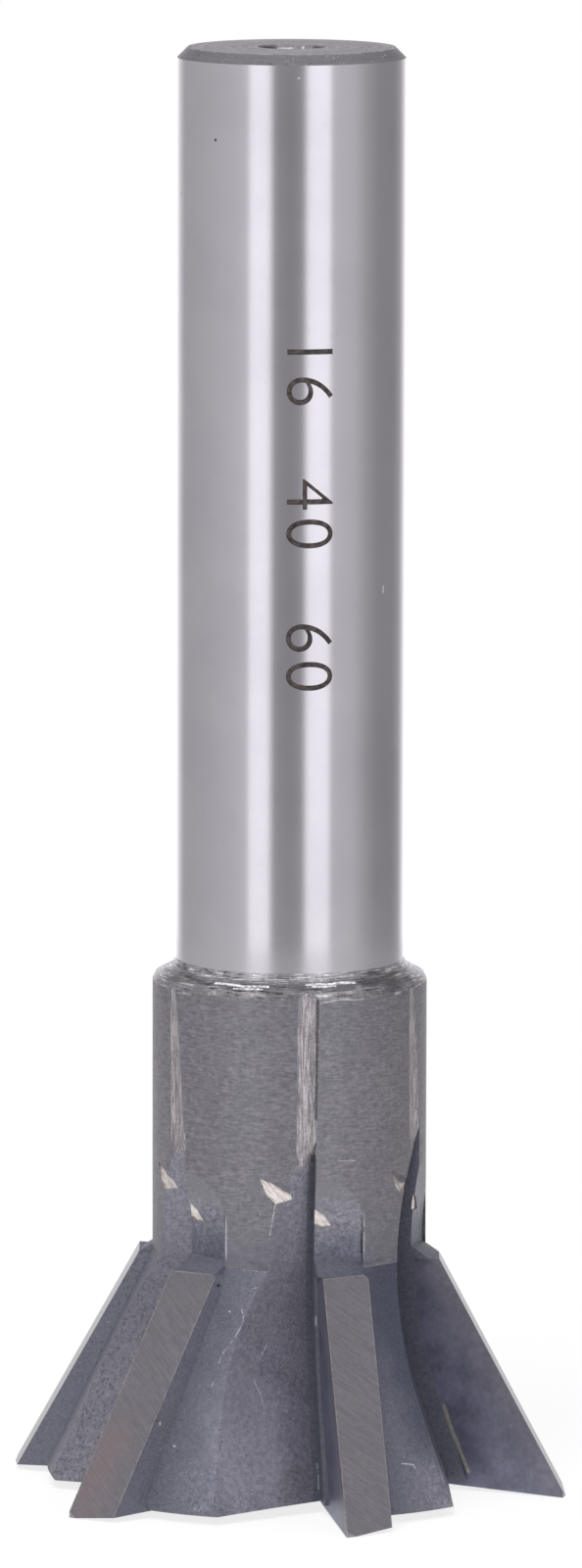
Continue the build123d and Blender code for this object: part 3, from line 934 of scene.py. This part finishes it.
def faceFinish(face, values):
    centre = face.calc_center_median()
    out, along = toothFrame(centre)
    points = [(v.co.dot(out) / mm, v.co.dot(along) / mm, v.co.z / mm) for v in face.verts]
    radii = [math.hypot(u, v) for u, v, z in points]
    facing = Vector((face.normal.dot(out), face.normal.dot(along), face.normal.z))
    outward = face.normal.dot(Vector((centre.x, centre.y, 0)).normalized())
    slant = math.tan(math.radians(values["landClearance"]))
    lean = 1 / math.tan(math.radians(values["dovetailAngle"]))

    def within(detail):
        return all(detail["low"][i] < point[i] < detail["high"][i] for point in points for i in range(3))

    def onLand(point):
        u, v, z = point
        reached = u + slant * (v - values["rakeFace"]) + lean * z
        return abs(reached - values["edgeRadius"]) < values["near"]

    if min(z for u, v, z in points) > values["shoulderBase"]:
        return "roughShoulder"
    if all(abs(r - values["collarRadius"]) < values["near"] for r in radii) and outward > 0.99:
        return "turnedCollar"
    if within(values["strip"]):
        return "groundStrip"
    for chip in ("fluteChip", "wallChip"):
        floor = facing.dot(Vector(values[chip]["facing"]).normalized()) > 0.99
        if within(values[chip]) and (floor or (outward < 0.5 and facing.z > -0.5)):
            return "freshChip"
    if all(abs(v - values["rakeFace"]) < 0.01 for u, v, z in points):
        return "groundRake"
    if all(onLand(point) for point in points) or min(radii) > values["cuttingRadius"] - 0.05:
        return "groundLand"
    if within(values["relief"]) and outward > 0.5:
        return "stainedRelief"
    if within(values["reliefWall"]) and facing.y < -0.7:
        return "groundStrip"
    return "darkFlute"


def mapFace(face, layer, finish):
    out, along = toothFrame(face.calc_center_median())
    for loop in face.loops:
        place = loop.vert.co / mm
        if finish == "groundRake":
            loop[layer].uv = (place.dot(out), place.z)
        else:
            loop[layer].uv = (place.dot(along), place.z)


def makeHead(values):
    bm = bmesh.new()
    bm.from_mesh(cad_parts["dovetail_cutter"].data)
    for edge in bm.edges:
        edge.smooth = not edge.is_boundary
    bmesh.ops.remove_doubles(bm, verts=bm.verts, dist=1e-7)
    bmesh.ops.bisect_plane(
        bm, geom=bm.verts[:] + bm.edges[:] + bm.faces[:], dist=1e-7,
        plane_co=(0, 0, values["shankBase"] * mm), plane_no=(0, 0, 1), clear_outer=True,
    )
    bmesh.ops.edgeloop_fill(bm, edges=[edge for edge in bm.edges if edge.is_boundary])
    for edge in bm.edges:
        if edge.is_manifold and edge.calc_face_angle(0) < math.radians(values["smoothEdge"]):
            edge.smooth = True
    layer = bm.loops.layers.uv.new("toothFlat")
    for face in bm.faces:
        finish = faceFinish(face, values)
        face.smooth = True
        face.material_index = finishSlot[finish]
        mapFace(face, layer, finish)
    head = newPiece("cutterHead", bm)
    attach(head, "root")
    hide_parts("dovetail_cutter")
    return head


makeHead(cutterSettings)
print("cutting end made")


# shank: one turned profile, with plain size numbers cut in
shankSettings = {
    "radius": 8.0,
    "base": cutterSettings["shankBase"],
    "top": 102.0,
    "chamfer": 0.73,
    "centreMouth": 2.4,
    "centrePilot": 1.0,
    "centreConeEnd": 99.575,
    "centreEnd": 96.8,
    "steps": 288,
    "sharpEdge": 20.0,  # degrees between faces from which an edge is drawn sharp
}

markSettings = {
    "numbers": ("16", "40", "60"),
    "starts": (82.6, 72.6, 62.6),  # height at which each number begins, mm
    "height": 3.5,
    "fontShare": 0.72,  # height of a digit in a font of size 1
    "slices": 12,  # so that the digits bend smoothly
    "thinning": -0.055,
    "spacing": 1.12,
    "azimuth": 9.6,  # degrees from the camera side to the middle of the numbers
    "depth": 0.07,
}


def markSharp(bm):
    for edge in bm.edges:
        edge.smooth = edge.calc_face_angle(0) < math.radians(shankSettings["sharpEdge"])


def makeShank(values):
    outline = (
        (0, values["centreEnd"]),
        (values["centrePilot"], values["centreEnd"]),
        (values["centrePilot"], values["centreConeEnd"]),
        (values["centreMouth"], values["top"]),
        (values["radius"] - values["chamfer"], values["top"]),
        (values["radius"], values["top"] - values["chamfer"]),
        (values["radius"], values["base"]),
        (0, values["base"]),
    )
    bm = bmesh.new()
    corners = [bm.verts.new((r * mm, 0, z * mm)) for r, z in outline]
    lines = [bm.edges.new(pair) for pair in zip(corners, corners[1:])]
    bmesh.ops.spin(
        bm, geom=corners + lines, cent=(0, 0, 0), axis=(0, 0, 1), angle=2 * math.pi,
        steps=values["steps"], use_merge=True,
    )
    bmesh.ops.remove_doubles(bm, verts=bm.verts, dist=1e-7)
    bmesh.ops.recalc_face_normals(bm, faces=bm.faces)
    for face in bm.faces:
        radius = math.hypot(*face.calc_center_median().xy) / mm
        ground = abs(face.normal.z) < 0.01 and radius > values["centreMouth"]
        face.material_index = finishSlot["groundShank" if ground else "turnedEnd"]
        face.smooth = True
    markSharp(bm)
    return newPiece("cutterShank", bm)


def makeNumbers(values, radius):
    # plain numbers, bent round the shank; they read from the top down
    combined = bmesh.new()
    for number, start in zip(values["numbers"], values["starts"]):
        text = bpy.data.curves.new("number" + number, "FONT")
        text.body = number
        text.size = values["height"] / values["fontShare"]
        text.offset = values["thinning"]
        text.space_character = values["spacing"]
        text.extrude = values["depth"] * 2
        letters = bpy.data.objects.new("number" + number, text)
        scene.collection.objects.link(letters)
        flat = bpy.data.meshes.new_from_object(letters.evaluated_get(bpy.context.evaluated_depsgraph_get()))
        bpy.data.objects.remove(letters)
        bm = bmesh.new()
        bm.from_mesh(flat)
        bmesh.ops.remove_doubles(bm, verts=bm.verts, dist=1e-5)
        low = min(v.co.y for v in bm.verts)
        high = max(v.co.y for v in bm.verts)
        for step in range(1, values["slices"]):
            bmesh.ops.bisect_plane(
                bm, geom=bm.verts[:] + bm.edges[:] + bm.faces[:], dist=1e-6,
                plane_co=(0, low + (high - low) * step / values["slices"], 0), plane_no=(0, 1, 0),
            )
        for vert in bm.verts:
            turn = math.radians(values["azimuth"]) + (vert.co.y - (low + high) / 2) / radius
            reach = (radius + vert.co.z + values["depth"]) * mm
            vert.co = (reach * math.sin(turn), -reach * math.cos(turn), (start - vert.co.x) * mm)
        bm.to_mesh(flat)
        bm.free()
        combined.from_mesh(flat)
        bpy.data.meshes.remove(flat)
    for face in combined.faces:
        face.material_index = finishSlot["engravedMark"]
        face.smooth = True
    return newPiece("numberCutter", combined)


def engrave(piece, cutter):
    modifier = piece.modifiers.new("numbers", "BOOLEAN")
    modifier.operation = "DIFFERENCE"
    modifier.solver = "EXACT"
    modifier.material_mode = "INDEX"
    modifier.object = cutter
    cut = bpy.data.meshes.new_from_object(piece.evaluated_get(bpy.context.evaluated_depsgraph_get()))
    piece.modifiers.clear()
    bm = bmesh.new()
    bm.from_mesh(cut)
    # hairline cracks and slivers that the cut leaves are closed
    bmesh.ops.holes_fill(bm, edges=[edge for edge in bm.edges if edge.is_boundary])
    bmesh.ops.dissolve_degenerate(bm, edges=bm.edges, dist=1e-7)
    markSharp(bm)
    bm.to_mesh(piece.data)
    bm.free()
    bpy.data.meshes.remove(cut)
    bpy.data.objects.remove(cutter)
    # the round surface keeps its true normals between the cuts
    mesh = piece.data
    normals = [corner.vector.copy() for corner in mesh.corner_normals]
    for polygon in mesh.polygons:
        if polygon.material_index == finishSlot["groundShank"]:
            for loop in polygon.loop_indices:
                place = mesh.vertices[mesh.loops[loop].vertex_index].co
                normals[loop] = Vector((place.x, place.y, 0)).normalized()
    mesh.normals_split_custom_set(normals)


shank = makeShank(shankSettings)
engrave(shank, makeNumbers(markSettings, shankSettings["radius"]))
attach(shank, "root")
print("shank made, faces:", len(shank.data.polygons))
